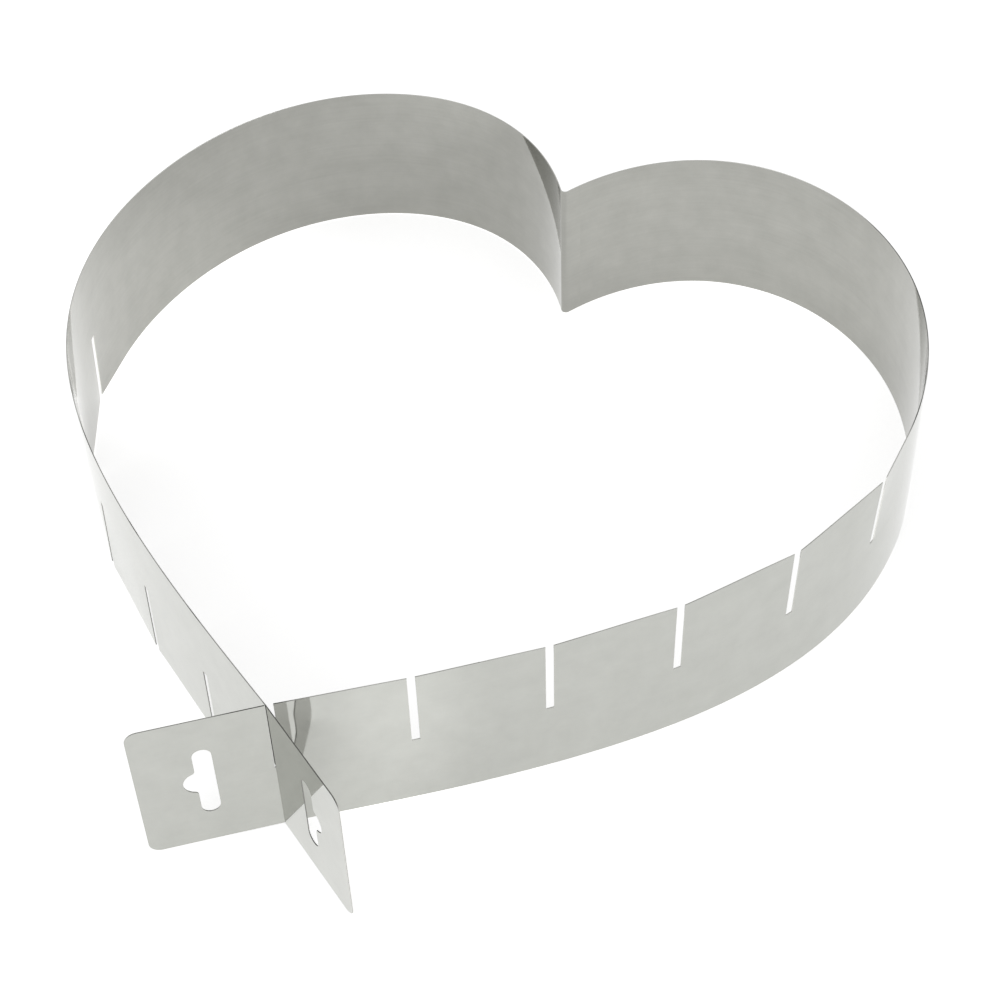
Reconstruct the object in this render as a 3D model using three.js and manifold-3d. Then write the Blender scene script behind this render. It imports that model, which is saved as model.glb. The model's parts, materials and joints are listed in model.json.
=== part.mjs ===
// An adjustable heart-shaped cake ring: one thin stainless strip standing on edge, folded in the
// middle, whose two slit arms hook into each other at the point of the heart.
// Millimetres, +Z up. The origin lies on the table under the middle of the ring's outer box, the
// mirror plane is X = 0 and the point of the heart looks along -Y.
//
// The strip bends where it flexes in use, so each stretch between two flexing lines is a piece of
// its own. A piece is drawn in the frame of the flexing line that it starts from: X runs along the
// strip, away from the fold, and Z along the flexing line. Each frame is nested in the one before.

import * as THREE from 'three';
import { mergeVertices } from 'three/addons/utils/BufferGeometryUtils.js';
import loadManifold from 'manifold-3d';

const wasm = await loadManifold();
wasm.setup();

// The strip
const STRIP_HEIGHT = 50;
const STRIP_THICKNESS = 0.3;

// The fold at the cleft of the heart
const LEAF_ANGLE = 30; // degrees, from the mirror plane to each leaf
const FOLD_RADIUS = 1.4; // to the middle of the thickness
const FOLD_REACH = 14; // from the fold to where each leaf flexes

// The slits that the arms hook by, measured along the strip from the fold
const INNER_SLIT_OFFSET = 223.25;
const SLIT_PITCH = 36.25;
const SLIT_COUNT = 6;
const SLIT_WIDTH = 2.2;
const SLIT_PLAY = 0.6; // depth past half the strip's height, so that hooked arms stand level
const FLEXING_SLIT = 2; // the slit that an arm flexes at, counted from the inner one as 0
const CROSSING_OFFSET = 0.55; // from the middle of a slit, towards the tab, where the other arm bears

// The hanging tabs past the crossing
const TAB_LENGTH = 36;
const TAB_KINK = THREE.MathUtils.degToRad(2); // forwards, where the hooked slit weakens the strip
const TAB_CORNER_RADIUS = 3.5;
const HOLE_SETBACK = 18; // from the end of the tab to the middle of the hole
const HOLE_WIDTH = 5;
const HOLE_HEIGHT = 26;
const BULGE_RADIUS = 4;
const BULGE_OFFSET = 2; // from the middle of the hole towards the end of the tab
const BULGE_FILLET = 1.2;

// How round the band is, from the fold to the straight end of the arm
const LEAF_RADIUS = 84;
const CROWN_RADIUS = 52.5;
const SHOULDER_RADIUS = 76.5;
const SIDE_RADIUS = 114;
const FLANK_RADIUS = 109;
const ARM_RADIUS = 330;

// Clearance between neighbouring pieces, and how finely curves are faceted
const FLEX_GAP = 0.3;
const FACET_TURN = THREE.MathUtils.degToRad(4);
const CURVE_STEPS = 10;
const FINGER_FACETS = 8;
const TRACE_STEPS = 2000;
const CUT_MARGIN = 5;

const SLIT_DEPTH = STRIP_HEIGHT / 2 + SLIT_PLAY;
const SLIT_PLACES = Array.from({ length: SLIT_COUNT }, (_, index) => INNER_SLIT_OFFSET + index * SLIT_PITCH);
const HOOKED_SLIT = SLIT_PLACES[SLIT_COUNT - 1];
const CROSSING = HOOKED_SLIT + CROSSING_OFFSET;
const STRIP_END = CROSSING + TAB_LENGTH;

// The band's radius at shares of the way from the fold to the crossing. Curvature changes evenly
// from each to the next.
const BENDS = [
  { share: 0, radius: LEAF_RADIUS },
  { share: 0.13, radius: CROWN_RADIUS },
  { share: 0.27, radius: SHOULDER_RADIUS },
  { share: 0.42, radius: SIDE_RADIUS },
  { share: 0.58, radius: FLANK_RADIUS },
  { share: 0.78, radius: ARM_RADIUS },
  { share: 1, radius: Infinity },
];

// Which half of the heart a piece belongs to: the sign of its X, and the edge that its slits open at
const LEFT = { name: 'left', sign: -1, slitsOpenUpwards: false };
const RIGHT = { name: 'right', sign: 1, slitsOpenUpwards: true };

const steel = { color: 0xc4c5bf, roughness: 0.28, metalness: 1 };

// The outline of the right half, along the middle of the thickness

/** Curvature at a share of the way from the fold to the crossing. */
function curvatureAt(share) {
  const end = BENDS.findIndex((bend) => bend.share >= share && bend.share > 0);
  const from = BENDS[end - 1];
  const to = BENDS[end];
  const blend = (share - from.share) / (to.share - from.share);
  return THREE.MathUtils.lerp(1 / from.radius, 1 / to.radius, blend);
}

/** Frames from the fold to the crossing, with every curvature multiplied by a factor. */
function traceHalf(factor) {
  const length = CROSSING / TRACE_STEPS;
  const frames = [{ place: 0, x: 0, y: 0, heading: THREE.MathUtils.degToRad(90 - LEAF_ANGLE) }];
  for (let step = 0; step < TRACE_STEPS; step += 1) {
    const last = frames[step];
    const turn = factor * length * curvatureAt((step + 0.5) / TRACE_STEPS);
    const chord = last.heading - turn / 2;
    frames.push({
      place: last.place + length,
      x: last.x + length * Math.cos(chord),
      y: last.y + length * Math.sin(chord),
      heading: last.heading - turn,
    });
  }
  return frames;
}

/** The factor at which the arm comes back to the mirror plane at the crossing. */
function closingGain() {
  let low = 0.5;
  let high = 2;
  for (let round = 0; round < 40; round += 1) {
    const factor = (low + high) / 2;
    if (traceHalf(factor)[TRACE_STEPS].x > 0) {
      low = factor;
    } else {
      high = factor;
    }
  }
  return (low + high) / 2;
}

const gain = closingGain();
const outline = traceHalf(gain);

/** The place along the half where a measure of its frames first passes a value. */
function placeWhere(measure, value) {
  const after = outline.findIndex(
    (frame, index) => index > 0 && (measure(frame) - value) * (measure(outline[index - 1]) - value) <= 0,
  );
  const start = outline[after - 1];
  const end = outline[after];
  const blend = (value - measure(start)) / (measure(end) - measure(start));
  return THREE.MathUtils.lerp(start.place, end.place, blend);
}

/**
 * How far outwards the slit edge of the strip stands at a place. Between two slits the strip is a
 * finger whose free edge stays flat where the band bends, so its corners stand out.
 */
function fingerLean(place) {
  const pitches = (place - INNER_SLIT_OFFSET) / SLIT_PITCH;
  if (pitches < -0.5 || place > HOOKED_SLIT) {
    return 0;
  }
  const fromMiddle = (pitches - Math.floor(pitches) - 0.5) * SLIT_PITCH;
  return (gain * curvatureAt(place / CROSSING) * fromMiddle ** 2) / 2;
}

/** The frame of one half at a place along the strip. From the crossing on it is straight. */
function frameAt(half, place) {
  const start = Math.min(Math.floor((place / CROSSING) * TRACE_STEPS), TRACE_STEPS - 1);
  const from = outline[start];
  const to = outline[start + 1];
  const blend = Math.min((place - from.place) / (to.place - from.place), 1);
  const kink = place < CROSSING ? 0 : TAB_KINK;
  const heading = THREE.MathUtils.lerp(from.heading, to.heading, blend) + kink;
  const beyond = Math.max(place - CROSSING, 0);
  const x = THREE.MathUtils.lerp(from.x, to.x, blend) + beyond * Math.cos(heading);
  const y = THREE.MathUtils.lerp(from.y, to.y, blend) + beyond * Math.sin(heading);
  const lean = fingerLean(place);
  return half.sign > 0 ? { x, y, heading, lean } : { x: -x, y, heading: Math.PI - heading, lean };
}

/** A frame as another frame sees it. */
function frameSeenFrom(origin, frame) {
  const offset = new THREE.Vector2(frame.x - origin.x, frame.y - origin.y);
  offset.rotateAround(new THREE.Vector2(), -origin.heading);
  return { ...frame, x: offset.x, y: offset.y, heading: frame.heading - origin.heading };
}

/** Frames of one half between two places: evenly spaced, or in step with the slits where they begin. */
function framesBetween(half, from, to) {
  const turn = Math.abs(frameAt(half, to).heading - frameAt(half, from).heading);
  const steps = Math.max(1, Math.ceil(turn / FACET_TURN));
  const places = Array.from({ length: steps + 1 }, (_, step) => from + ((to - from) * step) / steps);
  if (Math.max(from, to) < INNER_SLIT_OFFSET) {
    return places.map((place) => frameAt(half, place));
  }
  const facet = SLIT_PITCH / FINGER_FACETS;
  const first = Math.ceil((from - INNER_SLIT_OFFSET) / facet + 0.5);
  const last = Math.floor((to - INNER_SLIT_OFFSET) / facet - 0.5);
  const inStep = Array.from(
    { length: last - first + 1 },
    (_, index) => INNER_SLIT_OFFSET + (first + index) * facet,
  );
  return [from, ...inStep, to].map((place) => frameAt(half, place));
}

// The lines that the strip flexes along, as places along each half
const armHeading = outline[TRACE_STEPS].heading;
const crownLine = placeWhere((frame) => frame.heading, 0);
const twistLine = placeWhere((frame) => frame.heading, armHeading + Math.PI / 2);
const sideLine = placeWhere((frame) => frame.heading, -Math.PI / 2);
const armLine = SLIT_PLACES[FLEXING_SLIT];

// Solids

/** A closed solid from a geometry, for cutting. */
function solidFrom(geometry) {
  const bare = geometry.clone();
  bare.deleteAttribute('normal');
  bare.deleteAttribute('uv');
  const merged = mergeVertices(bare, 1e-4);
  return new wasm.Manifold(
    new wasm.Mesh({
      numProp: 3,
      vertProperties: new Float32Array(merged.attributes.position.array),
      triVerts: new Uint32Array(merged.index.array),
    }),
  );
}

/** A geometry from a closed solid. */
function geometryFrom(solid) {
  const mesh = solid.getMesh();
  const geometry = new THREE.BufferGeometry();
  geometry.setAttribute('position', new THREE.BufferAttribute(mesh.vertProperties, mesh.numProp));
  geometry.setIndex(new THREE.BufferAttribute(mesh.triVerts, 1));
  geometry.computeVertexNormals();
  return geometry;
}

/** The strip along a run of frames, at its full height, with an edge round it at mid-height if asked. */
function bandGeometry(frames, levels = 1) {
  const edge = (offset) =>
    frames.map(
      (frame) =>
        new THREE.Vector2(
          frame.x - offset * Math.sin(frame.heading),
          frame.y + offset * Math.cos(frame.heading),
        ),
    );
  const plan = new THREE.Shape([...edge(-STRIP_THICKNESS / 2), ...edge(STRIP_THICKNESS / 2).reverse()]);
  return new THREE.ExtrudeGeometry(plan, { depth: STRIP_HEIGHT, steps: levels, bevelEnabled: false });
}

/** Leans the fingers of a band outwards, from its mid-height to the edge that its slits open at. */
function leanFingers(geometry, half, frames) {
  const position = geometry.attributes.position;
  const point = new THREE.Vector2();
  for (let index = 0; index < position.count; index += 1) {
    point.set(position.getX(index), position.getY(index));
    const distances = frames.map((frame) => point.distanceToSquared(frame));
    const frame = frames[distances.indexOf(Math.min(...distances))];
    const rise = (2 * position.getZ(index)) / STRIP_HEIGHT - 1;
    const reach = Math.max(half.slitsOpenUpwards ? rise : -rise, 0);
    const outwards = half.sign * frame.lean * reach;
    position.setX(index, point.x - outwards * Math.sin(frame.heading));
    position.setY(index, point.y + outwards * Math.cos(frame.heading));
  }
}

/** A geometry with the slits of one half cut out of it, drawn in the frame of a place on that half. */
function cutSlits(geometry, half, origin) {
  const height = SLIT_DEPTH + CUT_MARGIN;
  const middle = half.slitsOpenUpwards
    ? STRIP_HEIGHT - SLIT_DEPTH + height / 2
    : SLIT_DEPTH - height / 2;
  let solid = solidFrom(geometry);
  for (const place of SLIT_PLACES) {
    const frame = frameSeenFrom(origin, frameAt(half, place));
    const cutter = new THREE.BoxGeometry(SLIT_WIDTH, STRIP_THICKNESS + CUT_MARGIN, height);
    cutter.rotateZ(frame.heading);
    cutter.translate(frame.x, frame.y, middle);
    solid = solid.subtract(solidFrom(cutter));
  }
  return geometryFrom(solid);
}

/** A stretch of the band between two flexing lines, in the frame of the first. */
function stretchGeometry(half, from, to) {
  const origin = frameAt(half, from);
  const frames = framesBetween(half, from + FLEX_GAP / 2, to - FLEX_GAP / 2).map((frame) =>
    frameSeenFrom(origin, frame),
  );
  const hasSlits = to > INNER_SLIT_OFFSET;
  const band = bandGeometry(frames, hasSlits ? 2 : 1);
  if (!hasSlits) {
    return band;
  }
  leanFingers(band, half, frames);
  return cutSlits(band, half, origin);
}

/** The fold and the short leaf on each side of it, in the heart's own frame. */
function foldGeometry() {
  const bendEnd = placeWhere((frame) => frame.x / Math.sin(frame.heading), FOLD_RADIUS);
  const leafEnd = FOLD_REACH - FLEX_GAP / 2;
  const end = frameAt(RIGHT, bendEnd);
  const centreY = end.y + end.x / Math.tan(end.heading);
  const steps = Math.ceil((2 * end.heading) / FACET_TURN);
  const bend = [];
  for (let step = 1; step < steps; step += 1) {
    const heading = end.heading * ((2 * step) / steps - 1);
    bend.push({
      x: FOLD_RADIUS * Math.sin(heading),
      y: centreY - FOLD_RADIUS * Math.cos(heading),
      heading,
    });
  }
  const leftLeaf = framesBetween(LEFT, leafEnd, bendEnd).map((frame) => ({
    ...frame,
    heading: frame.heading - Math.PI,
  }));
  return bandGeometry([...leftLeaf, ...bend, ...framesBetween(RIGHT, bendEnd, leafEnd)]);
}

/** The points of a closed path, with none repeated. */
function distinctPoints(path) {
  const points = path.getPoints(CURVE_STEPS);
  return points.filter((point, index) => point.distanceTo(points.at(index - 1)) > 1e-6);
}

/** The hanging hole: an upright slot with a filleted bulge towards the end of the tab. */
function hangingHole() {
  const middleX = TAB_LENGTH - HOLE_SETBACK;
  const middleY = STRIP_HEIGHT / 2;
  const halfWidth = HOLE_WIDTH / 2;
  const arcHeight = HOLE_HEIGHT / 2 - halfWidth;
  const bulgeX = middleX + BULGE_OFFSET;
  const filletX = middleX + halfWidth + BULGE_FILLET;
  const filletY = Math.sqrt((BULGE_RADIUS + BULGE_FILLET) ** 2 - (filletX - bulgeX) ** 2);
  const bulgeAngle = Math.atan2(filletY, filletX - bulgeX);
  const hole = new THREE.Path();
  hole.absarc(middleX, middleY + arcHeight, halfWidth, 0, Math.PI, false);
  hole.absarc(middleX, middleY - arcHeight, halfWidth, Math.PI, 2 * Math.PI, false);
  hole.absarc(filletX, middleY - filletY, BULGE_FILLET, Math.PI, Math.PI - bulgeAngle, true);
  hole.absarc(bulgeX, middleY, BULGE_RADIUS, -bulgeAngle, bulgeAngle, false);
  hole.absarc(filletX, middleY + filletY, BULGE_FILLET, Math.PI + bulgeAngle, Math.PI, true);
  return new THREE.Path(distinctPoints(hole));
}

/** The flat end of the strip past the crossing, in the frame of the line that it flexes along. */
function tabGeometry(half) {
  const root = FLEX_GAP / 2;
  const corner = TAB_CORNER_RADIUS;
  const outside = new THREE.Path();
  outside.moveTo(root, STRIP_HEIGHT);
  outside.lineTo(root, 0);
  outside.absarc(TAB_LENGTH - corner, corner, corner, -Math.PI / 2, 0, false);
  outside.absarc(TAB_LENGTH - corner, STRIP_HEIGHT - corner, corner, 0, Math.PI / 2, false);
  const face = new THREE.Shape(distinctPoints(outside));
  face.holes.push(hangingHole());
  const tab = new THREE.ExtrudeGeometry(face, { depth: STRIP_THICKNESS, bevelEnabled: false });
  tab.rotateX(Math.PI / 2);
  tab.translate(0, STRIP_THICKNESS / 2, 0);
  return cutSlits(tab, half, frameAt(half, CROSSING));
}

// The assembly

/** A named piece of the strip. */
function piece(name, geometry) {
  const mesh = new THREE.Mesh(geometry, new THREE.MeshStandardMaterial(steel));
  mesh.name = name;
  return mesh;
}

/** One half of the heart, as a chain of frames from the fold to the tab. */
function buildHalf(half, stretches) {
  const root = new THREE.Group();
  let parent = root;
  let parentFrame = { x: 0, y: 0, heading: 0 };
  stretches.forEach(({ name, from }, index) => {
    const frame = frameAt(half, from);
    const seen = frameSeenFrom(parentFrame, frame);
    const flexure = new THREE.Group();
    flexure.name = `${half.name}_${name}_frame`;
    flexure.position.set(seen.x, seen.y, 0);
    flexure.rotation.z = seen.heading;
    const isTab = index === stretches.length - 1;
    const geometry = isTab ? tabGeometry(half) : stretchGeometry(half, from, stretches[index + 1].from);
    flexure.add(piece(`${half.name}_${name}`, geometry));
    parent.add(flexure);
    parent = flexure;
    parentFrame = frame;
  });
  return root;
}

const leftStretches = [
  { name: 'leaf', from: FOLD_REACH },
  { name: 'crown', from: crownLine },
  { name: 'shoulder', from: twistLine },
  { name: 'rear_arm', from: sideLine },
  { name: 'front_arm', from: armLine },
  { name: 'hang_tab', from: CROSSING },
];

// The right arm stays on the table while the left one is twisted up, so its lobe is one stretch
const rightStretches = [
  { name: 'leaf', from: FOLD_REACH },
  { name: 'lobe', from: crownLine },
  { name: 'rear_arm', from: sideLine },
  { name: 'front_arm', from: armLine },
  { name: 'hang_tab', from: CROSSING },
];

const heart = new THREE.Group();
heart.add(piece('cleft_fold', foldGeometry()));
heart.add(buildHalf(LEFT, leftStretches));
heart.add(buildHalf(RIGHT, rightStretches));

// Puts the middle of the outer box over the origin
const backY = Math.max(...outline.map((frame) => frame.y)) + STRIP_THICKNESS / 2;
const tabEnd = frameAt(RIGHT, STRIP_END);
const frontY = tabEnd.y - (STRIP_THICKNESS / 2) * Math.abs(Math.cos(tabEnd.heading));
heart.position.y = -(backY + frontY) / 2;

const cakeRing = new THREE.Group();
cakeRing.name = 'adjustable_cake_ring';
cakeRing.add(heart);

export default cakeRing;
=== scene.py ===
"""Dresses the heart-shaped adjustable cake ring: one strip of bright rolled stainless sheet.

The strip is drawn flat, with its slits and hanging holes, and then bent along the outline of the
heart. Lengths are in millimetres along the strip and are turned to metres where a mesh is made.
"""

import json
import logging
import math
from dataclasses import dataclass, field
from enum import Enum
from typing import Any

import bmesh
import bpy
import numpy as np
from mathutils import Matrix, Vector


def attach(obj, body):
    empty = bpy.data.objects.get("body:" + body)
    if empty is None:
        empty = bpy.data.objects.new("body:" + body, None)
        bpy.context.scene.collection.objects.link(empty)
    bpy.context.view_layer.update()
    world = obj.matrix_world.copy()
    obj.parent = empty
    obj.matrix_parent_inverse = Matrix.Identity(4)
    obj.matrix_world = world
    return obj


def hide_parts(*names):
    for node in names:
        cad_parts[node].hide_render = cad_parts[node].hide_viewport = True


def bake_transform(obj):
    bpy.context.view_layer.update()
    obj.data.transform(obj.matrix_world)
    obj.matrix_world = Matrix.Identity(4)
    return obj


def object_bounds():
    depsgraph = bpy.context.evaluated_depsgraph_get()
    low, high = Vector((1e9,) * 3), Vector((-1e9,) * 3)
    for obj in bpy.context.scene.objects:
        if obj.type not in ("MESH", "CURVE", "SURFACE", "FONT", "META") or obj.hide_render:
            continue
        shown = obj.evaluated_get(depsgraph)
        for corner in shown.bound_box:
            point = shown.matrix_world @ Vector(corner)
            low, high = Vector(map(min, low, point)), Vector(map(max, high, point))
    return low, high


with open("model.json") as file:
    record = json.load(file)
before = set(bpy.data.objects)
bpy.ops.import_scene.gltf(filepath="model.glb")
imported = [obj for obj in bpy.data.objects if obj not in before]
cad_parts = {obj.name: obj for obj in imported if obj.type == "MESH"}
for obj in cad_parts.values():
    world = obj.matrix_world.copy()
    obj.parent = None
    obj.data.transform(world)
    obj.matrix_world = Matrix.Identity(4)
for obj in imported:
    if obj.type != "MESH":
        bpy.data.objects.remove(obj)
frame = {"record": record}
CAD_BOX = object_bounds()

LOG = logging.getLogger("cake_ring")
MM = 0.001
# Two values closer than this count as one.
TINY = 1e-6
# A face whose normal has a larger share than this along an axis looks straight along it.
SQUARE_ON = 0.9


class Half(Enum):
    """The halves of the heart, by the sign of their X."""

    LEFT = -1
    RIGHT = 1

    @property
    def word(self) -> str:
        """The half's name as it stands in piece names."""
        return self.name.lower()

    @property
    def free_edge(self) -> int:
        """The edge that the half's slits open at: 1 for the upper, -1 for the lower."""
        return self.value


def linear(hex_colour: str) -> tuple[float, float, float, float]:
    """Turns an sRGB hex colour to linear values.

    Args:
        hex_colour: Six hex digits, with or without a leading hash.

    Returns:
        Linear red, green and blue, and an alpha of 1.
    """
    digits = hex_colour.lstrip("#")
    parts = [int(digits[i : i + 2], 16) / 255 for i in (0, 2, 4)]
    red, green, blue = (c / 12.92 if c <= 0.04045 else ((c + 0.055) / 1.055) ** 2.4 for c in parts)
    return red, green, blue, 1.0


def add_node(
    tree: bpy.types.NodeTree, kind: str, inputs: dict[Any, Any] | None = None, **settings: Any
) -> bpy.types.Node:
    """Adds a node with its settings, values and links.

    Args:
        tree: The tree that gets the node.
        kind: The node's type.
        inputs: Input name or number to a value, to the output socket that feeds it, or to the node
            whose first output does.
        **settings: The node's own properties.

    Returns:
        The new node.
    """
    node = tree.nodes.new(kind)
    for name, value in settings.items():
        setattr(node, name, value)
    for key, value in (inputs or {}).items():
        if isinstance(value, bpy.types.Node):
            value = value.outputs[0]
        if isinstance(value, bpy.types.NodeSocket):
            tree.links.new(value, node.inputs[key])
        else:
            node.inputs[key].default_value = value
    return node


def empty_material(name: str) -> tuple[bpy.types.Material, bpy.types.NodeTree]:
    """Makes a material that has no nodes yet.

    Args:
        name: The material's name.

    Returns:
        The material and its tree.
    """
    material = bpy.data.materials.new(name)
    material.use_nodes = True
    material.node_tree.nodes.clear()
    return material, material.node_tree


@dataclass(frozen=True)
class RolledStainless:
    """Bright rolled stainless sheet: mirror-like, with cloudy patches and faint lines along the strip."""

    # Cold rolling between polished rolls leaves a near-mirror that carries faint lines along the strip.
    # Annealing clouds it in patches a few millimetres wide, so that reflections stay sharp but waver
    # in brightness.
    name: str = "bright_rolled_stainless"
    base: str = "#BDBEB9"
    shade: str = "#B7B8B3"
    roughness: float = 0.03
    roughness_spread: float = 0.04
    cloud_mm: float = 9.0
    cloud_detail: float = 4.0
    cloud_roughness: float = 0.6
    line_mm: float = 0.9
    line_length_mm: float = 40.0
    line_detail: float = 3.0
    line_share: float = 0.12
    line_bump: float = 0.012
    line_relief_mm: float = 0.04
    noise_low: float = 0.3
    noise_high: float = 0.7

    def make(self) -> bpy.types.Material:
        """Makes the material on the strip's own map, whose unit is a metre along and across the strip.

        Returns:
            The material.
        """
        material, tree = empty_material(self.name)
        strip_map = add_node(tree, "ShaderNodeUVMap", uv_map="strip")
        clouds = add_node(
            tree,
            "ShaderNodeTexNoise",
            {
                "Vector": strip_map,
                "Scale": 1 / (self.cloud_mm * MM),
                "Detail": self.cloud_detail,
                "Roughness": self.cloud_roughness,
            },
        )
        line_scale = (1 / (self.line_length_mm * MM), 1 / (self.line_mm * MM), 1.0)
        stretch = add_node(tree, "ShaderNodeMapping", {"Vector": strip_map, "Scale": line_scale})
        lines = add_node(
            tree, "ShaderNodeTexNoise", {"Vector": stretch, "Scale": 1.0, "Detail": self.line_detail}
        )
        both = add_node(
            tree,
            "ShaderNodeMix",
            {"Factor": self.line_share, "A": clouds.outputs["Fac"], "B": lines.outputs["Fac"]},
            data_type="FLOAT",
        )
        spread = {"Value": both, "From Min": self.noise_low, "From Max": self.noise_high}
        tone = add_node(tree, "ShaderNodeMapRange", spread)
        colour = add_node(
            tree,
            "ShaderNodeMix",
            {"Factor": tone.outputs["Result"], "A": linear(self.shade), "B": linear(self.base)},
            data_type="RGBA",
        )
        gloss = add_node(
            tree,
            "ShaderNodeMapRange",
            {**spread, "To Min": self.roughness + self.roughness_spread, "To Max": self.roughness},
        )
        bump = add_node(
            tree,
            "ShaderNodeBump",
            {
                "Strength": self.line_bump,
                "Distance": self.line_relief_mm * MM,
                "Height": lines.outputs["Fac"],
            },
        )
        surface = add_node(
            tree,
            "ShaderNodeBsdfPrincipled",
            {
                "Base Color": colour.outputs["Result"],
                "Metallic": 1.0,
                "Roughness": gloss.outputs["Result"],
                "Normal": bump.outputs["Normal"],
            },
        )
        add_node(tree, "ShaderNodeOutputMaterial", {"Surface": surface.outputs["BSDF"]})
        return material


@dataclass(frozen=True)
class ShearedEdge:
    """The cut edge of the sheet: painted bright in places as painted highlight, and painted dark in others as
    painted reflection of darker surroundings.
    """

    # A shear first burnishes the edge and then breaks it, which leaves bright and dark marks half a
    # millimetre long. Along the strip the edge is painted: bright on the lobes, as painted highlight of the
    # sky that they face, and dark on the arms, as painted reflection of darker surroundings.
    name: str
    wear: list[tuple[float, float]]
    strip_end_mm: float
    # Painted highlight: the colour of the bright edges of the lobes.
    bright: str = "#F2F2ED"
    light: str = "#6C6C68"
    dark: str = "#444441"
    roughness: float = 0.42
    mark_mm: float = 0.5
    mark_detail: float = 2.0

    def make(self) -> bpy.types.Material:
        """Makes the material on the strip's own map, along which the painted reflection changes.

        Returns:
            The material.
        """
        material, tree = empty_material(self.name)
        strip_map = add_node(tree, "ShaderNodeUVMap", uv_map="strip")
        marks = add_node(
            tree,
            "ShaderNodeTexNoise",
            {"Vector": strip_map, "Scale": 1 / (self.mark_mm * MM), "Detail": self.mark_detail},
        )
        cut = add_node(
            tree,
            "ShaderNodeMix",
            {"Factor": marks.outputs["Fac"], "A": linear(self.dark), "B": linear(self.light)},
            data_type="RGBA",
        )
        place = add_node(tree, "ShaderNodeSeparateXYZ", {"Vector": strip_map})
        share = add_node(
            tree, "ShaderNodeMapRange", {"Value": place.outputs["X"], "From Max": self.strip_end_mm * MM}
        )
        # Painted reflection along the strip: 0 keeps the painted highlight, 1 the dark cut marks.
        wear = add_node(tree, "ShaderNodeValToRGB", {"Fac": share.outputs["Result"]})
        stops = wear.color_ramp.elements
        while len(stops) < len(self.wear):
            stops.new(1.0)
        for stop, (along_mm, amount) in zip(stops, self.wear):
            stop.position = along_mm / self.strip_end_mm
            stop.color = (amount, amount, amount, 1.0)
        colour = add_node(
            tree,
            "ShaderNodeMix",
            {"Factor": wear.outputs["Color"], "A": linear(self.bright), "B": cut.outputs["Result"]},
            data_type="RGBA",
        )
        surface = add_node(
            tree,
            "ShaderNodeBsdfPrincipled",
            {"Base Color": colour.outputs["Result"], "Metallic": 1.0, "Roughness": self.roughness},
        )
        add_node(tree, "ShaderNodeOutputMaterial", {"Surface": surface.outputs["BSDF"]})
        return material


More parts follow.
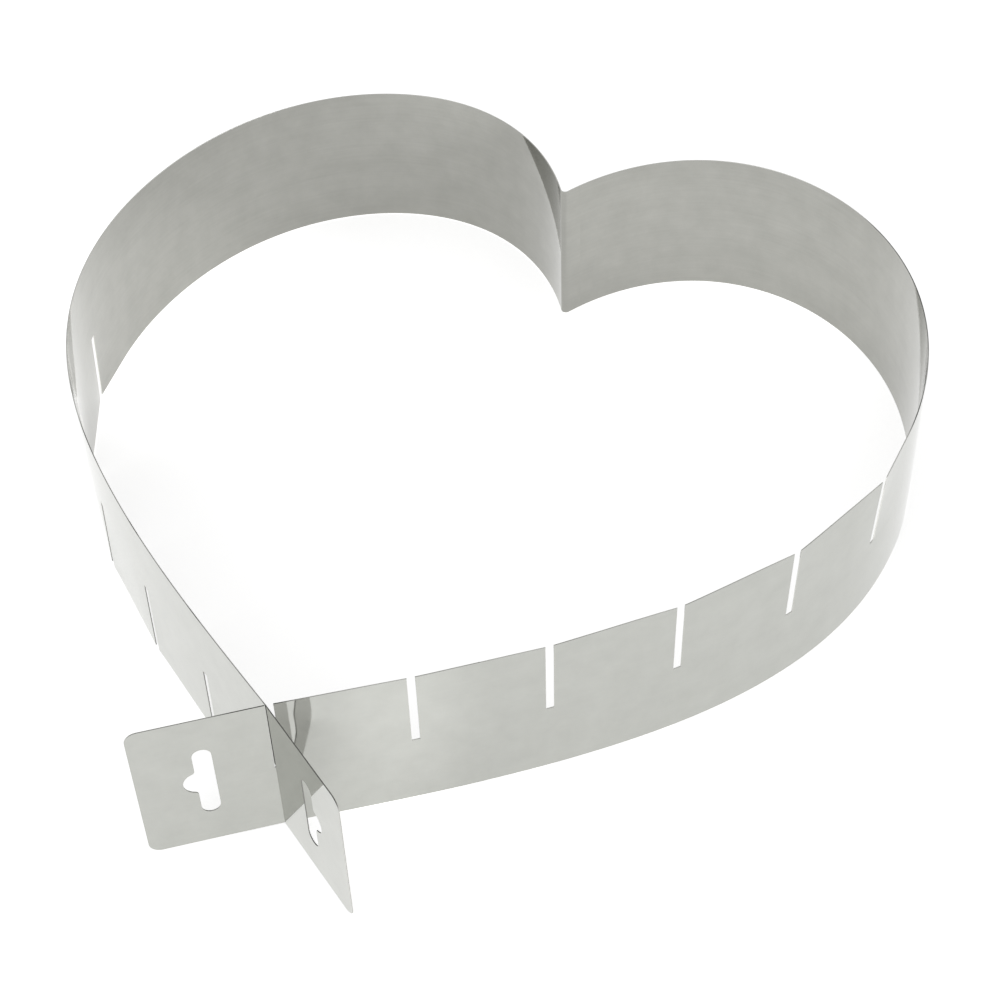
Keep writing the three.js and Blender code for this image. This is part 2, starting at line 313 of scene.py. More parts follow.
@dataclass
class HeartOutline:
    """The outline of the band along the middle of its thickness, from the fold to the end of a tab."""

    leaf_angle: float = 30.0
    fold_radius: float = 1.4
    thickness: float = 0.3
    inner_slit: float = 223.25
    slit_pitch: float = 36.25
    slit_count: int = 6
    crossing_offset: float = 0.55
    tab_kink: float = 2.0
    bends: tuple[tuple[float, float], ...] = (
        (0.0, 84.0),
        (0.13, 52.5),
        (0.27, 76.5),
        (0.42, 114.0),
        (0.58, 109.0),
        (0.78, 330.0),
        (1.0, math.inf),
    )
    steps: int = 4000
    gain_limits: tuple[float, float] = (0.5, 2.0)
    halvings: int = 40
    table: np.ndarray = field(init=False, repr=False)
    gain: float = field(init=False)

    def __post_init__(self) -> None:
        """Closes the heart: scales the bends until the crossing lies on the mirror plane."""
        low, high = self.gain_limits
        for _ in range(self.halvings):
            self.gain = (low + high) / 2
            if self._trace(self.gain)[1, -1] > 0:
                low = self.gain
            else:
                high = self.gain
        table = self._trace(self.gain)
        back = CAD_BOX[1].y / MM - self.thickness / 2
        table[2] += back - table[2].max()
        self.table = table

    @property
    def hooked_slit(self) -> float:
        """The place of the middle of the slit that the arms are hooked by."""
        return self.inner_slit + (self.slit_count - 1) * self.slit_pitch

    @property
    def crossing(self) -> float:
        """The place where the arms cross: they bear on the tab side of each other's slits."""
        return self.hooked_slit + self.crossing_offset

    def curvature(self, place: np.ndarray | float) -> np.ndarray | float:
        """Curvature of the band at a place, before the gain that closes the heart."""
        shares, radii = zip(*self.bends)
        return np.interp(np.asarray(place) / self.crossing, shares, [1 / r for r in radii])

    def _trace(self, gain: float) -> np.ndarray:
        """Follows the right half of the band.

        Args:
            gain: What every curvature is multiplied by.

        Returns:
            Rows of places, X, Y and headings, from the fold to the crossing.
        """
        places = np.linspace(0, self.crossing, self.steps + 1)
        length = places[1]
        turns = gain * length * self.curvature(places[:-1] + length / 2)
        headings = math.radians(90 - self.leaf_angle) - np.concatenate([[0], np.cumsum(turns)])
        chords = headings[:-1] - turns / 2
        x = np.concatenate([[0], np.cumsum(length * np.cos(chords))])
        y = np.concatenate([[0], np.cumsum(length * np.sin(chords))])
        return np.stack([places, x, y, headings])

    def at(self, half: Half, place: float) -> tuple[float, float, float]:
        """Finds a point of the band.

        Args:
            half: The half that the place is on.
            place: Millimetres along the strip from the fold.

        Returns:
            X, Y and heading, with the heading pointing away from the fold.
        """
        places, xs, ys, headings = self.table
        beyond = max(place - self.crossing, 0.0)
        heading = float(np.interp(place, places, headings)) + (math.radians(self.tab_kink) if beyond else 0.0)
        x = float(np.interp(place, places, xs)) + beyond * math.cos(heading)
        y = float(np.interp(place, places, ys)) + beyond * math.sin(heading)
        if half is Half.LEFT:
            return -x, y, math.pi - heading
        return x, y, heading

    def lean(self, place: float) -> float:
        """Finds how far outwards the slit edge stands: fingers between slits stay flat where the band bends.

        Args:
            place: Millimetres along the strip from the fold.

        Returns:
            Millimetres outwards.
        """
        pitches = (place - self.inner_slit) / self.slit_pitch
        if pitches < -0.5 or place > self.hooked_slit:
            return 0.0
        from_middle = (pitches - math.floor(pitches) - 0.5) * self.slit_pitch
        return self.gain * float(self.curvature(place)) * from_middle**2 / 2

    def place_of(self, point: Vector) -> float:
        """Finds the place along either half that lies nearest a point.

        Args:
            point: The point in metres.

        Returns:
            Millimetres along the strip from the fold.
        """
        places, xs, ys, _ = self.table
        gaps = np.hypot(xs - abs(point[0]) / MM, ys - point[1] / MM)
        return float(places[gaps.argmin()])

    def fold(self) -> tuple[float, float, float]:
        """Finds the round of the fold.

        Returns:
            The place where it ends on each leaf, the heading there and the Y of its centre.
        """
        places, xs, ys, headings = self.table
        end = int(np.argmax(xs / np.sin(headings) >= self.fold_radius))
        return float(places[end]), float(headings[end]), float(ys[end] + xs[end] / math.tan(headings[end]))

    def fold_path(self, reach: float, step: float) -> list[tuple[float, float]]:
        """Points round the fold, from a place on the left leaf to the same place on the right one.

        Args:
            reach: The place on each leaf.
            step: Millimetres between points.

        Returns:
            X and Y of each point.
        """
        end, heading, centre = self.fold()
        places = np.linspace(end, reach, math.ceil((reach - end) / step) + 1)
        leaf = [self.at(Half.RIGHT, place)[:2] for place in places]
        count = math.ceil(2 * heading * self.fold_radius / step) * 2
        turns = np.linspace(-heading, heading, count + 1)[1:-1]
        bend = [(self.fold_radius * math.sin(a), centre - self.fold_radius * math.cos(a)) for a in turns]
        return [(-x, y) for x, y in reversed(leaf)] + bend + leaf


@dataclass(frozen=True)
class HangingHole:
    """The hole in each tab: an upright slot with a filleted bulge towards the end of the tab."""

    setback: float = 18.0
    width: float = 5.0
    height: float = 26.0
    bulge_radius: float = 4.0
    bulge_offset: float = 2.0
    fillet: float = 1.2
    arc_steps: int = 14

    def loop(self, centre: tuple[float, float]) -> list[tuple[float, float]]:
        """Draws the hole.

        Args:
            centre: Place and height of the middle of the slot.

        Returns:
            Place and height of each point round the hole.
        """
        half = self.width / 2
        rise = self.height / 2 - half
        fillet_x = half + self.fillet
        fillet_z = math.sqrt((self.bulge_radius + self.fillet) ** 2 - (fillet_x - self.bulge_offset) ** 2)
        spread = math.atan2(fillet_z, fillet_x - self.bulge_offset)
        arcs = (
            (0.0, rise, half, 0.0, math.pi),
            (0.0, -rise, half, math.pi, 2 * math.pi),
            (fillet_x, -fillet_z, self.fillet, math.pi, math.pi - spread),
            (self.bulge_offset, 0.0, self.bulge_radius, -spread, spread),
            (fillet_x, fillet_z, self.fillet, math.pi + spread, math.pi),
        )
        points = []
        for x, z, radius, start, stop in arcs:
            for angle in np.linspace(start, stop, self.arc_steps):
                along = x + radius * math.cos(angle)
                up = z + radius * math.sin(angle)
                points.append((centre[0] + along, centre[1] + up))
        return without_repeats(points)


def without_repeats(points: list[tuple[float, float]]) -> list[tuple[float, float]]:
    """Drops each point of a closed loop that lies on the one before it."""
    return [p for i, p in enumerate(points) if math.dist(p, points[i - 1]) > TINY]


@dataclass
class FlatStrip:
    """A stretch of the strip before it is bent: X along it, Y through its thickness, Z its height."""

    outline: HeartOutline
    height: float = 50.0
    slit_width: float = 2.2
    slit_play: float = 0.6
    slit_bearing: float = 0.27
    tab_length: float = 36.0
    tab_corner: float = 3.5
    corner_steps: int = 10
    hole: HangingHole = HangingHole()
    column: float = 0.8
    row: float = 5.0
    edge_round: float = 0.06
    plain_tab: float = 12.0
    seam_tolerance: float = 1e-3

    @property
    def slit_depth(self) -> float:
        """Depth of a slit from its open edge."""
        return self.height / 2 + self.slit_play

    @property
    def end(self) -> float:
        """The place of the strip's end."""
        return self.outline.crossing + self.tab_length

    def slits(self) -> list[float]:
        """The places of the slits."""
        return [self.outline.inner_slit + i * self.outline.slit_pitch for i in range(self.outline.slit_count)]

    def slit_edges(self, place: float) -> tuple[float, float]:
        """Finds a slit's edges: the hooked slit is drawn up to the other arm, which bears on its tab side.

        Args:
            place: Where the middle of the slit is cut.

        Returns:
            The places of the edge towards the fold and of the edge towards the tab.
        """
        drawn = self.slit_bearing if place == self.slits()[-1] else 0.0
        return place - self.slit_width / 2 - drawn, place + self.slit_width / 2 - drawn

    def lines(self, start: float, stop: float, marks: list[float], spacing: float) -> list[float]:
        """Grid lines between two values.

        Args:
            start: First line.
            stop: Last line.
            marks: Values that must have a line of their own.
            spacing: Largest distance between lines.

        Returns:
            The lines in order.
        """
        stops = sorted({start, stop, *(m for m in marks if start < m < stop)})
        result = [start]
        for low, high in zip(stops, stops[1:]):
            count = max(1, math.ceil((high - low) / spacing - TINY))
            result += [low + (high - low) * i / count for i in range(1, count + 1)]
        return result

    def make(self, name: str, free_edge: int, outwards: int, start: float, stop: float) -> bpy.types.Object:
        """Cuts a stretch out of the sheet.

        Args:
            name: Name of the piece.
            free_edge: 1 where the slits open upwards, -1 where they open downwards, 0 where there are none.
            outwards: 1 where +Y becomes the outside of the ring, -1 where -Y does.
            start: Place where the stretch begins.
            stop: Place where it ends.

        Returns:
            The flat stretch as an object, with its rims marked and its map made.
        """
        has_tab = stop >= self.end
        grid_stop = self.outline.crossing + self.plain_tab if has_tab else stop
        slits = self.slits() if free_edge else []
        edges = [edge for s in slits for edge in self.slit_edges(s)]
        columns = self.lines(start, grid_stop, [*edges, *slits, self.outline.crossing], self.column)
        closed = self.height - self.slit_depth if free_edge > 0 else self.slit_depth
        rows = self.lines(0.0, self.height, [closed, self.height / 2], self.row)
        bm = bmesh.new()
        grid: dict[tuple[int, int], bmesh.types.BMVert] = {}

        def corner(i: int, j: int) -> bmesh.types.BMVert:
            """The grid's vertex at a column and a row."""
            if (i, j) not in grid:
                grid[i, j] = bm.verts.new((columns[i], 0.0, rows[j]))
            return grid[i, j]

        for i in range(len(columns) - 1):
            middle = (columns[i] + columns[i + 1]) / 2
            in_slit = any(low < middle < high for low, high in map(self.slit_edges, slits))
            for j in range(len(rows) - 1):
                level = (rows[j] + rows[j + 1]) / 2
                if in_slit and (level - closed) * free_edge > 0:
                    continue
                bm.faces.new([corner(i, j), corner(i + 1, j), corner(i + 1, j + 1), corner(i, j + 1)])
        if has_tab:
            last = len(columns) - 1
            self._fill_tab(bm, [corner(last, j) for j in range(len(rows))])
        self._thicken(bm, start, None if has_tab else stop, outwards)
        mesh = bpy.data.meshes.new(name)
        bm.to_mesh(mesh)
        bm.free()
        piece = bpy.data.objects.new(name, mesh)
        bpy.context.collection.objects.link(piece)
        return piece

    def _fill_tab(self, bm: bmesh.types.BMesh, root: list[bmesh.types.BMVert]) -> None:
        """Fills the flat end of the strip round its hanging hole, from the last column of the grid.

        Args:
            bm: The flat sheet.
            root: Vertices of the last column, from the lower edge to the upper.
        """
        radius = self.tab_corner
        arcs = ((radius, -math.pi / 2), (self.height - radius, 0.0))
        outside = []
        for level, angle in arcs:
            for turn in np.linspace(angle, angle + math.pi / 2, self.corner_steps):
                outside.append((self.end - radius + radius * math.cos(turn), level + radius * math.sin(turn)))
        rim = [bm.verts.new((x, 0.0, z)) for x, z in outside]
        chain = [*root, *reversed(rim)]
        middle = (self.end - self.hole.setback, self.height / 2)
        hole = [bm.verts.new((x, 0.0, z)) for x, z in self.hole.loop(middle)]
        loops = []
        for loop in (chain, hole):
            for a, b in zip(loop, [*loop[1:], loop[0]]):
                loops.append(bm.edges.get((a, b)) or bm.edges.new((a, b)))
        filled = bmesh.ops.triangle_fill(bm, use_beauty=True, use_dissolve=False, edges=loops)
        for face in filled["geom"]:
            if isinstance(face, bmesh.types.BMFace) and face.normal.y > 0:
                face.normal_flip()

    def _thicken(self, bm: bmesh.types.BMesh, start: float, stop: float | None, outwards: int) -> None:
        """Gives the flat sheet its thickness, marks its cut rims and maps it.

        Args:
            bm: The flat sheet, with its faces looking along -Y.
            start: Place where the neighbouring stretch joins on.
            stop: Place where the next stretch joins on, if there is one.
            outwards: 1 where +Y becomes the outside of the ring, -1 where -Y does.
        """
        bm.normal_update()
        sheet = list(bm.faces)
        extruded = bmesh.ops.extrude_face_region(bm, geom=sheet)
        moved = [v for v in extruded["geom"] if isinstance(v, bmesh.types.BMVert)]
        bmesh.ops.translate(bm, verts=moved, vec=(0.0, self.outline.thickness, 0.0))
        bmesh.ops.translate(bm, verts=bm.verts, vec=(0.0, -self.outline.thickness / 2, 0.0))
        bmesh.ops.recalc_face_normals(bm, faces=bm.faces)
        seams = [start] if stop is None else [start, stop]

        def looks_across(face: bmesh.types.BMFace) -> bool:
            """Whether a face is on one of the sheet's two sides."""
            return abs(face.normal.y) > SQUARE_ON

        def is_rim(face: bmesh.types.BMFace) -> bool:
            """Whether a face is on a cut edge, and not where another stretch joins on."""
            place = face.calc_center_median().x
            at_seam = any(abs(place - seam) < self.seam_tolerance for seam in seams)
            return not looks_across(face) and not (at_seam and abs(face.normal.x) > SQUARE_ON)

        sharp = []
        for edge in bm.edges:
            if any(map(is_rim, edge.link_faces)) and any(map(looks_across, edge.link_faces)):
                sharp.append(edge)
        bmesh.ops.bevel(
            bm, geom=sharp, offset=self.edge_round, segments=1, affect="EDGES", clamp_overlap=True
        )
        rim_layer = bm.faces.layers.int.new("rim")
        inside_layer = bm.faces.layers.int.new("inside")
        uv = bm.loops.layers.uv.new("strip")
        for face in bm.faces:
            face[rim_layer] = int(is_rim(face))
            face[inside_layer] = int(face.normal.y * outwards < -SQUARE_ON)
            face.smooth = True
            for loop in face.loops:
                loop[uv].uv = (loop.vert.co.x * MM, loop.vert.co.z * MM)
        for edge in bm.edges:
            kinds = {round(f.normal.y, 1) for f in edge.link_faces}
            edge.smooth = len(kinds) == 1
        bmesh.ops.scale(bm, vec=(MM, MM, MM), verts=bm.verts)


class StripBender:
    """Bends flat stretches along a path with one Geometry Nodes tree."""

    def __init__(self, outside: bpy.types.Material, inside: bpy.types.Material, height: float) -> None:
        """Builds the tree.

        Args:
            outside: Material of the sheet's face on the outside of the ring.
            inside: Material of its face on the inside.
            height: Height of the strip in millimetres.
        """
        self.outside = outside
        self.inside = inside
        self.height = height
        self.tree = self._build()

    def _build(self) -> bpy.types.NodeTree:
        """Builds the tree: a point goes to its place on the path, off to the side by its thickness and lean.

        Returns:
            The tree.
        """
        tree = bpy.data.node_groups.new("bend_strip_along_path", "GeometryNodeTree")
        sockets = (
            ("Flat Strip", "NodeSocketGeometry"),
            ("Path", "NodeSocketObject"),
            ("Strip Height", "NodeSocketFloat"),
            ("Free Edge", "NodeSocketFloat"),
            ("Outwards", "NodeSocketFloat"),
            ("Path Start", "NodeSocketFloat"),
            ("Outside Face", "NodeSocketMaterial"),
            ("Inside Face", "NodeSocketMaterial"),
            ("Cut Edges", "NodeSocketMaterial"),
        )
        for name, kind in sockets:
            tree.interface.new_socket(name=name, in_out="INPUT", socket_type=kind)
        tree.interface.new_socket(name="Bent Strip", in_out="OUTPUT", socket_type="NodeSocketGeometry")
        given = add_node(tree, "NodeGroupInput").outputs
        position = add_node(tree, "GeometryNodeInputPosition")
        flat = add_node(tree, "ShaderNodeSeparateXYZ", {0: position}).outputs
        path = add_node(tree, "GeometryNodeObjectInfo", {"Object": given["Path"]})
        along = add_node(tree, "ShaderNodeMath", {0: flat["X"], 1: given["Path Start"]}, operation="SUBTRACT")
        sample = add_node(
            tree,
            "GeometryNodeSampleCurve",
            {
                "Curves": path.outputs["Geometry"],
                "Value": add_node(tree, "GeometryNodeInputRadius"),
                "Length": along,
            },
            data_type="FLOAT",
            mode="LENGTH",
        ).outputs
        share = add_node(tree, "ShaderNodeMath", {0: flat["Z"], 1: given["Strip Height"]}, operation="DIVIDE")
        rise = add_node(tree, "ShaderNodeMath", {0: share, 1: 2.0, 2: -1.0}, operation="MULTIPLY_ADD")
        signed = add_node(tree, "ShaderNodeMath", {0: rise, 1: given["Free Edge"]}, operation="MULTIPLY")
        reach = add_node(tree, "ShaderNodeMath", {0: signed, 1: 0.0}, operation="MAXIMUM")
        lean = add_node(tree, "ShaderNodeMath", {0: reach, 1: sample["Value"]}, operation="MULTIPLY")
        aside = add_node(
            tree, "ShaderNodeMath", {0: lean, 1: given["Outwards"], 2: flat["Y"]}, operation="MULTIPLY_ADD"
        )
        square = add_node(
            tree,
            "ShaderNodeVectorMath",
            {0: (0.0, 0.0, 1.0), 1: sample["Tangent"]},
            operation="CROSS_PRODUCT",
        )
        shift = add_node(tree, "ShaderNodeVectorMath", {0: square, "Scale": aside}, operation="SCALE")
        planned = add_node(tree, "ShaderNodeVectorMath", {0: sample["Position"], 1: shift}, operation="ADD")
        lift = add_node(tree, "ShaderNodeCombineXYZ", {"Z": flat["Z"]})
        place = add_node(tree, "ShaderNodeVectorMath", {0: planned, 1: lift}, operation="ADD")
        bent = add_node(tree, "GeometryNodeSetPosition", {"Geometry": given["Flat Strip"], "Position": place})
        whole = add_node(tree, "GeometryNodeRealizeInstances", {"Geometry": bent})
        dressed = add_node(
            tree, "GeometryNodeSetMaterial", {"Geometry": whole, "Material": given["Outside Face"]}
        )
        for flag, finish in (("inside", "Inside Face"), ("rim", "Cut Edges")):
            flagged = add_node(tree, "GeometryNodeInputNamedAttribute", {"Name": flag}, data_type="BOOLEAN")
            dressed = add_node(
                tree,
                "GeometryNodeSetMaterial",
                {"Geometry": dressed, "Selection": flagged.outputs["Attribute"], "Material": given[finish]},
            )
        add_node(tree, "NodeGroupOutput", {0: dressed})
        return tree

    def bend(
        self,
        piece: bpy.types.Object,
        points: list[tuple[float, float]],
        leans: list[float],
        start: float,
        free_edge: int,
        outwards: int,
        edges: bpy.types.Material,
    ) -> None:
        """Bends a flat stretch along a path and leaves it as a plain mesh.

        Args:
            piece: The flat stretch.
            points: X and Y of the path in millimetres.
            leans: How far the free edge leans outwards at each point, in millimetres.
            start: The place along the strip where the path starts.
            free_edge: 1 where the slits open upwards, -1 where they open downwards.
            outwards: 1 where the outside of the ring is on the left of the path, -1 on the right.
            edges: Material of the cut edges.
        """
        curve = bpy.data.curves.new("path", "CURVE")
        curve.dimensions = "3D"
        spline = curve.splines.new("POLY")
        spline.points.add(len(points) - 1)
        for point, (x, y), lean in zip(spline.points, points, leans):
            point.co = (x * MM, y * MM, 0.0, 1.0)
            point.radius = lean * MM
        path = bpy.data.objects.new("path", curve)
        bpy.context.collection.objects.link(path)
        modifier = piece.modifiers.new("bend", "NODES")
        modifier.node_group = self.tree
        values = {
            "Path": path,
            "Strip Height": self.height * MM,
            "Free Edge": float(free_edge),
            "Outwards": float(outwards),
            "Path Start": start * MM,
            "Outside Face": self.outside,
            "Inside Face": self.inside,
            "Cut Edges": edges,
        }
        for item in self.tree.interface.items_tree:
            if item.in_out == "INPUT" and item.name in values:
                modifier[item.identifier] = values[item.name]
        depsgraph = bpy.context.evaluated_depsgraph_get()
        mesh = bpy.data.meshes.new_from_object(
            piece.evaluated_get(depsgraph), preserve_all_data_layers=True, depsgraph=depsgraph
        )
        piece.modifiers.clear()
        piece.data = mesh
        bpy.data.objects.remove(path)


@dataclass
class CakeRing:
    """The ring: the fold, and the stretches of each half, each spanning one flexing line."""

    outline: HeartOutline
    strip: FlatStrip
    bender: StripBender
    edges: dict[Half, bpy.types.Material]
    fold_reach: float = 7.0
    fold_column: float = 0.15
    path_step: float = 0.25
    flex_reach: dict[str, float] = field(
        default_factory=lambda: {
            "fold": 6.0,
            "crown": 24.0,
            "unhook": 30.0,
            "side": 30.0,
            "arm": 30.0,
            "tab": 11.0,
        }
    )

    def build(self) -> None:
        """Builds every stretch, and joins the fold to its body."""
        self._build_fold()
        for half in Half:
            self._build_half(half)

    def _dress(self, piece: bpy.types.Object, node: str) -> None:
        """Lets a piece stand for a CAD node: hides the node's part and logs the piece's faces.

        Args:
            piece: The piece.
            node: Name of the CAD node.
        """
        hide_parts(node)
        LOG.info("%s: %d faces", piece.name, len(piece.data.polygons))

    def _build_fold(self) -> None:
        """Builds the fold, which rides on the root body."""
        points = self.outline.fold_path(self.fold_reach, self.path_step / 2)
        length = sum(math.dist(a, b) for a, b in zip(points, points[1:]))
        flat = FlatStrip(self.outline, column=self.fold_column)
        piece = flat.make("fold_strip", 0, 1, 0.0, length)
        self.bender.bend(piece, points, [0.0] * len(points), 0.0, 0, 1, self.edges[Half.RIGHT])
        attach(piece, "cleft_fold")
        self._dress(piece, "cleft_fold")

    def _build_half(self, half: Half) -> None:
        """Builds the stretches of one half, from the fold to the tab.

        Args:
            half: The half.
        """
        joints = [j for j in frame["record"]["behaviour"]["joints"] if j["name"].startswith(half.word)]
        chain = sorted(((self.outline.place_of(j["pos_m"]), j) for j in joints), key=lambda pair: pair[0])
        places = [place for place, _ in chain]
        middles = [(a + b) / 2 for a, b in zip(places, places[1:])]
        ends = [self.fold_reach, *middles, self.strip.end]
        for (place, joint), start, stop in zip(chain, ends, ends[1:]):
            reach = next(r for word, r in self.flex_reach.items() if word in joint["name"])
            self._build_stretch(half, joint, (start, stop), (place - reach, place + reach))

    def _build_stretch(
        self, half: Half, joint: dict[str, Any], span: tuple[float, float], zone: tuple[float, float]
    ) -> None:
        """Builds one stretch along its span and hides the CAD part of the joint's child in its place.

        Args:
            half: The half that it is on.
            joint: The record's joint whose child the stretch stands for.
            span: Places where it starts and stops.
            zone: Places round the joint's flexing line, at its reach on either side.
        """
        start, stop = span
        piece = self.strip.make(f"{joint['child']}_strip", half.free_edge, half.value, start, stop)
        count = math.ceil((stop - start) / self.path_step)
        places = [start + (stop - start) * i / count for i in range(count + 1)]
        points = [self.outline.at(half, place)[:2] for place in places]
        leans = [self.outline.lean(place) for place in places]
        self.bender.bend(piece, points, leans, start, half.free_edge, half.value, self.edges[half])
        level = self.strip.height / 2 * MM
        first, last = ((x * MM, y * MM, level) for x, y, _ in (self.outline.at(half, p) for p in zone))
        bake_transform(piece)
        self._dress(piece, joint["child"])


@dataclass(frozen=True)
class Lamp:
    """A soft lamp: square, or a spot if it has a beam."""

    name: str
    place: tuple[float, float, float]
    aim: tuple[float, float, float]
    size: float
    power: float
    beam: float = 0.0

    def make(self) -> None:
        """Hangs the lamp and aims it."""
        data = bpy.data.lights.new(self.name, "SPOT" if self.beam else "AREA")
        data.energy = self.power
        if self.beam:
            data.spot_size = math.radians(self.beam)
            data.spot_blend = 1.0
            data.shadow_soft_size = self.size
        else:
            data.size = self.size
        lamp = bpy.data.objects.new(self.name, data)
        lamp.location = self.place
        lamp.rotation_euler = (Vector(self.aim) - Vector(self.place)).to_track_quat("-Z", "Y").to_euler()
        bpy.context.collection.objects.link(lamp)


@dataclass(frozen=True)
class Studio:
    """A pale floor, soft even light and the camera at the photograph's angle."""

    floor_colour: str = "#F8F8F8"
    floor_size: float = 60.0
    floor_drop: float = 0.0002
    floor_roughness: float = 0.9
    floor_sheen: float = 0.1
    sky_colour: str = "#FFFFFF"
    sky_strength: float = 0.46
    floor_glow: float = 0.7
    lamps: tuple[Lamp, ...] = (
        Lamp(
            "front_lamp",
            place=(-0.25, -0.7, 0.5),
            aim=(0.0, 0.0, 0.0),
            size=0.6,
            power=1.1,
        ),
        Lamp(
            "side_spot",
            place=(0.25, 0.1, 0.8),
            aim=(-0.12, 0.056, 0.0),
            size=0.02,
            power=9.3,
            beam=8.5,
        ),
        Lamp(
            "lobe_spot",
            place=(0.05, 0.05, 0.9),
            aim=(0.05, 0.108, 0.0),
            size=0.02,
            power=6.5,
            beam=7.6,
        ),
        Lamp(
            "corner_spot",
            place=(0.8, -0.35, 0.6),
            aim=(0.036, -0.112, 0.0),
            size=0.01,
            power=16.0,
            beam=3.0,
        ),
    )
    eye: tuple[float, float, float] = (187.79, -402.38, 479.64)
    azimuth: float = 22.919
    elevation: float = 46.563
    roll: float = -2.216
    focal_length: float = 78.94
    sensor_width: float = 36.0
    nearest: float = 0.01

    def build(self) -> None:
        """Builds the floor, the light and the camera."""
        self._build_floor()
        self._build_light()
        self._build_camera()
        bpy.context.scene.view_settings.view_transform = "Standard"

    def _build_floor(self) -> None:
        """Lays the floor just under the ring."""
        half = self.floor_size / 2
        mesh = bpy.data.meshes.new("floor")
        corners = [(-half, -half, 0.0), (half, -half, 0.0), (half, half, 0.0), (-half, half, 0.0)]
        mesh.from_pydata(corners, [], [(0, 1, 2, 3)])
        floor = bpy.data.objects.new("floor", mesh)
        floor.location.z = -self.floor_drop
        bpy.context.collection.objects.link(floor)
        # White card lit from all round: matt, so the ring leaves only a faint shadow on it.
        material = bpy.data.materials.new("matt_white_card")
        material.use_nodes = True
        surface = material.node_tree.nodes["Principled BSDF"]
        surface.inputs["Base Color"].default_value = linear(self.floor_colour)
        surface.inputs["Roughness"].default_value = self.floor_roughness
        surface.inputs["Specular IOR Level"].default_value = self.floor_sheen
        surface.inputs["Emission Color"].default_value = linear(self.floor_colour)
        surface.inputs["Emission Strength"].default_value = self.floor_glow
        mesh.materials.append(material)

    def _build_light(self) -> None:
        """Lights the scene evenly from all round, with soft lamps besides."""
        world = bpy.data.worlds.new("studio_sky")
        world.use_nodes = True
        background = world.node_tree.nodes["Background"]
        background.inputs["Color"].default_value = linear(self.sky_colour)
        background.inputs["Strength"].default_value = self.sky_strength
        bpy.context.scene.world = world
        for lamp in self.lamps:
            lamp.make()

    def _build_camera(self) -> None:
        """Sets the camera where the photograph was taken from."""
        azimuth, elevation, roll = (math.radians(v) for v in (self.azimuth, self.elevation, self.roll))
        back = Vector(
            (
                math.sin(azimuth) * math.cos(elevation),
                -math.cos(azimuth) * math.cos(elevation),
                math.sin(elevation),
            )
        )
        level = Vector((math.cos(azimuth), math.sin(azimuth), 0.0))
        upright = back.cross(level)
        right = math.cos(roll) * level + math.sin(roll) * upright
        up = back.cross(right)
        turn = Matrix((right, up, back)).transposed().to_4x4()
        data = bpy.data.cameras.new("camera")
        data.sensor_width = self.sensor_width
        data.lens = self.focal_length
        data.clip_start = self.nearest
        camera = bpy.data.objects.new("camera", data)
        camera.matrix_world = Matrix.Translation(Vector(self.eye) * MM) @ turn
        bpy.context.collection.objects.link(camera)
        bpy.context.scene.camera = camera


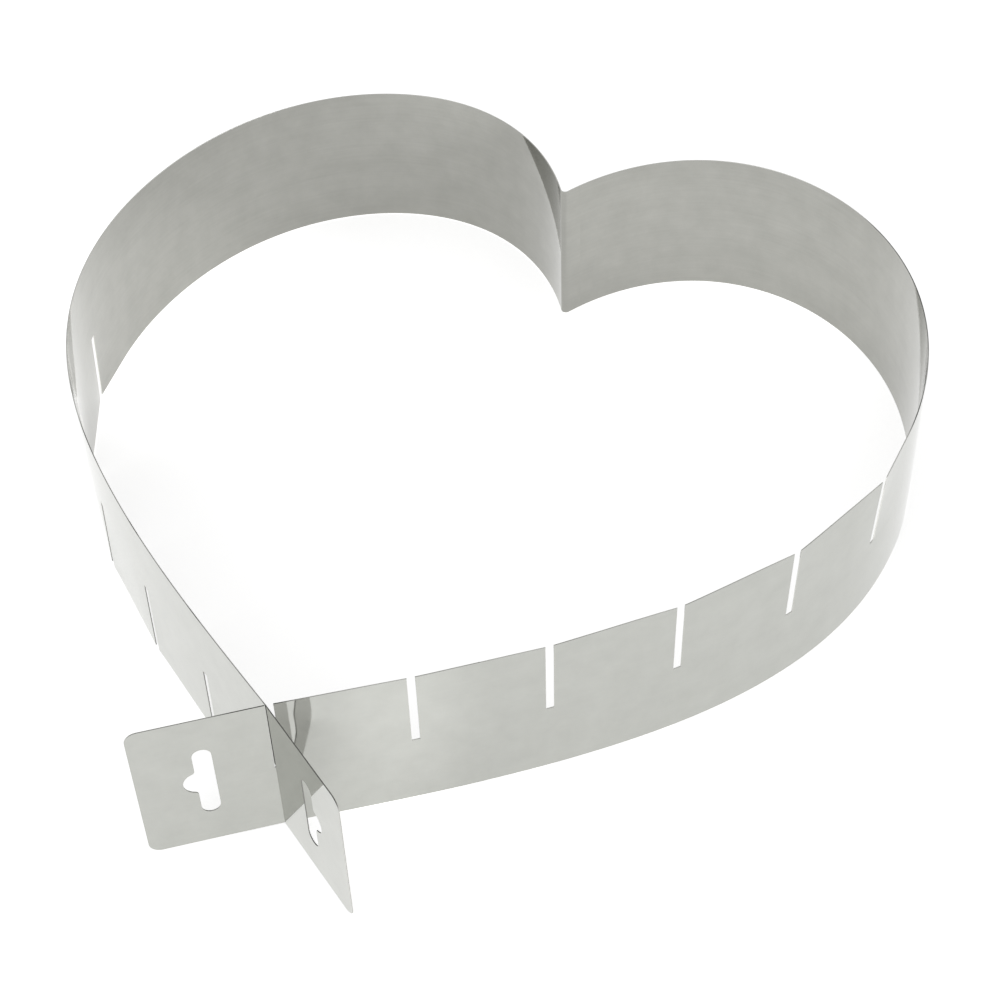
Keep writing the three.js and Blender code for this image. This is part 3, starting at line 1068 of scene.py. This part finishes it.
@dataclass(frozen=True)
class EdgeWear:
    """How dark the cut edge is painted along each half, from 0, bright, to 1, darkest: painted highlight and
    painted reflection.
    """

    # Places are millimetres from the fold, and reaches are millimetres from a slit, the crossing or the end.
    # The lobes and the innermost slits stay bright with painted highlight, the sides are painted dark in
    # stretches, and each finger of the right arm darkens towards the tab, as painted reflection of darker
    # surroundings.
    strip: FlatStrip
    left_side: tuple[tuple[float, float], ...] = (
        (0.0, 0.0),
        (284.0, 0.0),
        (289.0, 0.62),
        (300.0, 0.62),
        (305.0, 0.36),
    )
    left_arm: float = 0.36
    left_slit: float = 0.74
    left_slit_reach: tuple[float, float] = (1.0, 3.0)
    first_worn_slit: int = 3
    left_hook: float = 0.42
    left_tab: float = 0.85
    left_end: float = 0.45
    end_reach: float = 1.0
    right_side: tuple[tuple[float, float], ...] = (
        (0.0, 0.0),
        (105.0, 0.0),
        (112.0, 0.8),
        (134.0, 0.85),
        (141.0, 1.0),
        (148.0, 0.9),
        (158.0, 0.66),
        (166.0, 0.6),
        (172.0, 0.3),
        (184.0, 0.25),
        (190.0, 0.8),
        (197.0, 0.9),
        (205.0, 0.1),
    )
    inner_slit: tuple[tuple[float, float], ...] = ((-0.8, 0.0), (1.0, 0.0), (2.7, 0.36), (4.4, 0.0))
    right_finger: float = 0.36
    right_hook_reach: float = 8.0
    right_tab: tuple[tuple[float, float], ...] = ((9.0, 1.0), (14.0, 0.5))
    step: float = 0.1

    def along(self, half: Half) -> list[tuple[float, float]]:
        """Says how dark the edge is along a half.

        Args:
            half: The half.

        Returns:
            Places along the strip and the wear at each.
        """
        slits = [self.strip.slit_edges(place) for place in self.strip.slits()]
        hooked = slits[-1][0]
        crossing = self.strip.outline.crossing
        if half is Half.LEFT:
            stops = list(self.left_side)
            near, far = self.left_slit_reach
            for low, high in slits[self.first_worn_slit : -1]:
                stops += [(low - far, self.left_arm), (low - near, self.left_slit)]
                stops += [(high + near, self.left_slit), (high + far, self.left_arm)]
            stops += [(hooked, self.left_hook), (crossing, self.left_tab)]
            end = self.strip.end
            return [*stops, (end - self.end_reach, self.left_tab), (end - self.step, self.left_end)]
        inner = slits[0][0]
        stops = [*self.right_side, *((inner + reach, amount) for reach, amount in self.inner_slit)]
        for corner, _ in slits[1:-1]:
            stops += [(corner, self.right_finger), (corner + self.step, 0.0)]
        stops += [(hooked - self.right_hook_reach, self.right_finger), (hooked, 1.0)]
        return [*stops, *((crossing + reach, amount) for reach, amount in self.right_tab)]


def main() -> None:
    """Builds the ring and the studio round it."""
    logging.basicConfig(level=logging.INFO)
    outline = HeartOutline()
    strip = FlatStrip(outline)
    # The inside is the same sheet's other face. It met a coarser roll, so its lines and reflections are a
    # little softer, and its colour is painted darker: painted shade for the shaded floor inside the ring that
    # it reflects.
    inside = RolledStainless(
        name="dull_rolled_stainless",
        base="#A5A5A0",
        shade="#9B9B96",
        roughness=0.035,
        roughness_spread=0.05,
        line_share=0.3,
        line_bump=0.02,
    )
    bender = StripBender(RolledStainless().make(), inside.make(), strip.height)
    wear = EdgeWear(strip)
    edges = {
        half: ShearedEdge(f"{half.word}_sheared_edge", wear.along(half), strip.end).make() for half in Half
    }
    CakeRing(outline, strip, bender, edges).build()
    Studio().build()


if __name__ == "__main__":
    main()
